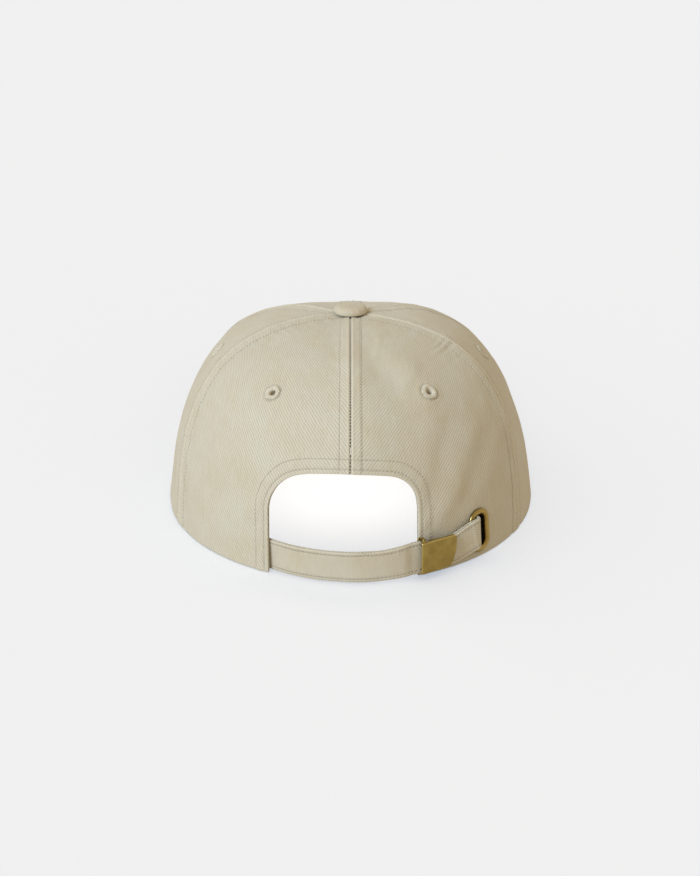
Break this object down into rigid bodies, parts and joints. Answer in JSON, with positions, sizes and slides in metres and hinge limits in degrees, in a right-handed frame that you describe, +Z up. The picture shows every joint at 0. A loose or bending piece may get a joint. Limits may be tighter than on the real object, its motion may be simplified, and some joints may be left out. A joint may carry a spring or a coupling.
{
  "type": "baseball cap",
  "caption": "Six-panel cotton twill baseball cap with curved visor and a rear fabric strap that runs through a brass lever buckle and tucks into a grommet.",
  "frame": {"origin": "under the middle of the whole cap's length and width, in the plane of the lower rim, which is the plane it rests on; the crown's vertical axis stands 35.55 mm behind it", "axes": "+Z up to the top button, +Y forward over the visor, +X to the wearer's right"},
  "size_m": [0.1679, 0.273, 0.0936],
  "materials": {
    "twill": "washed khaki cotton twill, matte, fine diagonal rib",
    "seam_tape": "plain woven cotton tape",
    "lining_cotton": "matte cotton twill",
    "band_core": "needled interlining",
    "visor_board": "pale moulded board",
    "eyelet_thread": "satin-stitched cotton thread",
    "prong_steel": "nickel-plated stamped steel",
    "antique_brass": "satin antique brass"
  },
  "bodies": {
    "crown": {"front_panel_left": "twill", "side_panel_left": "twill", "rear_panel_left": "twill", "rear_panel_right": "twill", "side_panel_right": "twill", "front_panel_right": "twill", "seam_tape_front_centre": "seam_tape", "seam_tape_front_left": "seam_tape", "seam_tape_rear_left": "seam_tape", "seam_tape_rear_centre": "seam_tape", "seam_tape_rear_right": "seam_tape", "seam_tape_front_right": "seam_tape", "sweatband": "lining_cotton", "sweatband_core": "band_core", "rear_opening_facing": "lining_cotton", "visor_top_fabric": "twill", "visor_board": "visor_board", "visor_bottom_fabric": "twill", "eyelet_rear_left": "eyelet_thread", "eyelet_rear_right": "eyelet_thread", "eyelet_side_left": "eyelet_thread", "eyelet_side_right": "eyelet_thread", "eyelet_front_left": "eyelet_thread", "eyelet_front_right": "eyelet_thread", "top_button_shell": "twill", "top_button_prong": "prong_steel", "buckle_tab": "twill", "buckle_frame": "antique_brass", "buckle_pin": "antique_brass", "grommet_face": "antique_brass", "grommet_washer": "antique_brass"},
    "lever": {"buckle_lever": "antique_brass"},
    "strap": {"closure_strap": "twill"},
    "tail": {"strap_tail": "twill"}
  },
  "joints": [
    {"name": "buckle_lever_flip", "type": "hinge", "parent": "crown", "child": "lever", "pos_m": [0.03227, -0.13132, 0.00903], "axis": [0.0209, 0, -0.9998], "range_deg": [0, 115]},
    {"name": "strap_adjust", "type": "hinge", "parent": "crown", "child": "strap", "pos_m": [0.00471, -0.07577, 0.00845], "axis": [-0.0209, 0, 0.9998], "range_deg": [-4.7, 4.7]},
    {"name": "strap_tail_pull_out", "type": "hinge", "parent": "crown", "child": "tail", "pos_m": [0.04583, -0.11961, 0.00931], "axis": [0.0209, 0, -0.9998], "range_deg": [0, 60]}
  ]
}
